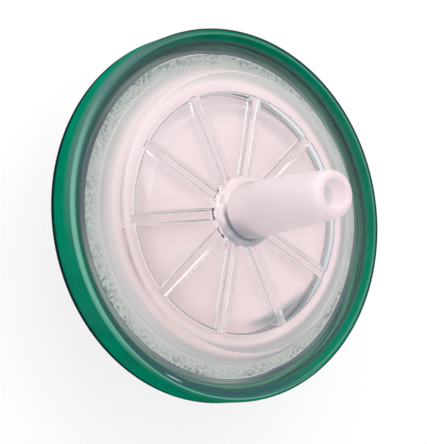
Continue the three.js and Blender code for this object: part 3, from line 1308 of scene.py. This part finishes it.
def ring_profile():
    seat = rim_radius + SEAT_GAP
    lip = rim_radius - LIP_OVERLAP
    crest_z = ring_high.z
    foot_z = ring_low.z
    outer = ring_radius - CREST_ROUND
    inner = ring_radius - CREST_WIDTH + INNER_ROUND_RUN
    return [
        (seat, inlet_rim_z), (lip, inlet_rim_z), (lip + LIP_TAPER, foot_z),
        *arc(outer, foot_z + CREST_ROUND, CREST_ROUND, -90, 0, 6),
        *arc(outer, crest_z - CREST_ROUND, CREST_ROUND, 0, 88, 8),
        *arc(inner, crest_z - INNER_ROUND, INNER_ROUND, 95, 150, 4),
        *arc(lip - HOLLOW_OFFSET[0], crest_z + HOLLOW_OFFSET[1], HOLLOW_RADIUS, -45, -86, 8),
        (lip, outlet_rim_z), (seat, outlet_rim_z),
    ]


ring = turned("green_ring", ring_profile())
ring.data.materials.append(green)
finish_shading(ring)

# %% [markdown]
# ## Floor and light
# The floor is a plain pale disc, which catches a soft shadow. It also glows a little to the rays that
# look at it, directly, mirrored or through the plastic, so that it stays white. The light is a large
# soft sky, brighter from above on the +Y side, with a low glow near the horizon that draws pale
# lines on the edges, and a round softbox that gives the ribs and the rounded corners a light side
# and a darker one. To the camera itself the sky is plain white.

# %% Floor
FLOOR_RADIUS = 0.25
FLOOR_GLOW_SHARE = 0.72
WHITE = (1, 1, 1, 1)
PAPER = (0.95, 0.95, 0.95, 1)


def shown(tree, output_kind, share, first, second):
    mix = node(tree, "ShaderNodeMixShader", Fac=share)
    tree.links.new(first.outputs[0], mix.inputs[1])
    tree.links.new(second.outputs[0], mix.inputs[2])
    tree.links.new(mix.outputs[0], tree.nodes.new(output_kind).inputs["Surface"])


def paper_floor():
    material = bpy.data.materials.new("paper_floor")
    material.use_nodes = True
    tree = material.node_tree
    tree.nodes.clear()
    paper = node(tree, "ShaderNodeBsdfDiffuse", Color=PAPER)
    glow = node(tree, "ShaderNodeEmission", Color=WHITE, Strength=1.0)
    path = tree.nodes.new("ShaderNodeLightPath").outputs
    seen = maths(tree, "MAXIMUM", path["Is Camera Ray"], path["Is Glossy Ray"])
    seen = maths(tree, "MAXIMUM", seen, path["Is Transmission Ray"])
    shown(tree, "ShaderNodeOutputMaterial", times(tree, seen, FLOOR_GLOW_SHARE), paper, glow)
    return material


def make_floor():
    bm = bmesh.new()
    bmesh.ops.create_circle(bm, cap_ends=True, segments=96, radius=FLOOR_RADIUS)
    floor = new_piece("floor", mesh_of(bm, "floor"))
    floor.data.materials.append(paper_floor())


make_floor()
print("floor ready")

# %% Softbox
SOFTBOX_SIDE = Vector((0.0, 0.6, 0.8)).normalized()
SOFTBOX_DISTANCE = 0.5
SOFTBOX_SIZE = 0.5
SOFTBOX_POWER = 1.1


def make_softbox():
    lamp = bpy.data.lights.new("softbox", "AREA")
    lamp.shape = "DISK"
    lamp.size = SOFTBOX_SIZE
    lamp.energy = SOFTBOX_POWER
    softbox = bpy.data.objects.new("softbox", lamp)
    scene.collection.objects.link(softbox)
    softbox.location = SOFTBOX_SIDE * SOFTBOX_DISTANCE
    softbox.rotation_euler = SOFTBOX_SIDE.to_track_quat("Z", "Y").to_euler()


make_softbox()
print("softbox ready")

# %% Sky
BRIGHT_SIDE = Vector((-0.12, 0.62, 0.77)).normalized()
SKY_TONES = (
    (0.12, (0.22, 0.23, 0.25)), (0.4, (0.41, 0.43, 0.47)), (0.62, (0.58, 0.6, 0.64)), (0.95, (0.9, 0.9, 0.9))
)
SKY_STRENGTH = 1.05
GLOW_HEIGHT = 0.28
GLOW_REACH = 0.16
GLOW_STRENGTH = 4.0


def make_sky():
    sky = bpy.data.worlds.new("studio")
    scene.world = sky
    sky.use_nodes = True
    tree = sky.node_tree
    tree.nodes.clear()
    looking = tree.nodes.new("ShaderNodeTexCoord").outputs["Generated"]
    split = node(tree, "ShaderNodeSeparateXYZ", Vector=looking).outputs
    closeness = vectors(tree, "DOT_PRODUCT", looking, BRIGHT_SIDE)["Value"]
    tone = ramp(tree, maths(tree, "MULTIPLY_ADD", closeness, 0.5, 0.5), *SKY_TONES)
    low = band(tree, split["Z"], GLOW_HEIGHT, 0, GLOW_REACH)
    west = maths(tree, "MULTIPLY_ADD", split["X"], -2.0, 0.3, clamp=True)
    east = maths(tree, "MULTIPLY_ADD", split["X"], 0.18, -0.03, clamp=True)
    glow = times(tree, low, maths(tree, "ADD", west, east), GLOW_STRENGTH)
    strength = maths(tree, "ADD", glow, SKY_STRENGTH)
    lighting = node(tree, "ShaderNodeBackground", Color=tone, Strength=strength)
    backdrop = node(tree, "ShaderNodeBackground", Color=WHITE, Strength=1.0)
    to_camera = tree.nodes.new("ShaderNodeLightPath").outputs["Is Camera Ray"]
    shown(tree, "ShaderNodeOutputWorld", to_camera, lighting, backdrop)


make_sky()
scene.view_settings.view_transform = "Standard"
print("sky ready")

# %% [markdown]
# ## Bodies
# Every piece rides on the one body and stands in for its CAD node, which is hidden.

# %% Bodies
for piece, cad_node, slot in (
    (outlet, "outlet_half", "clear_housing"),
    (inlet, "inlet_half", "clear_housing"),
    (disc, "filter_membrane", "membrane"),
    (ring, "overmould_ring", "green_ring"),
):
    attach(piece, "root")
    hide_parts(cad_node)
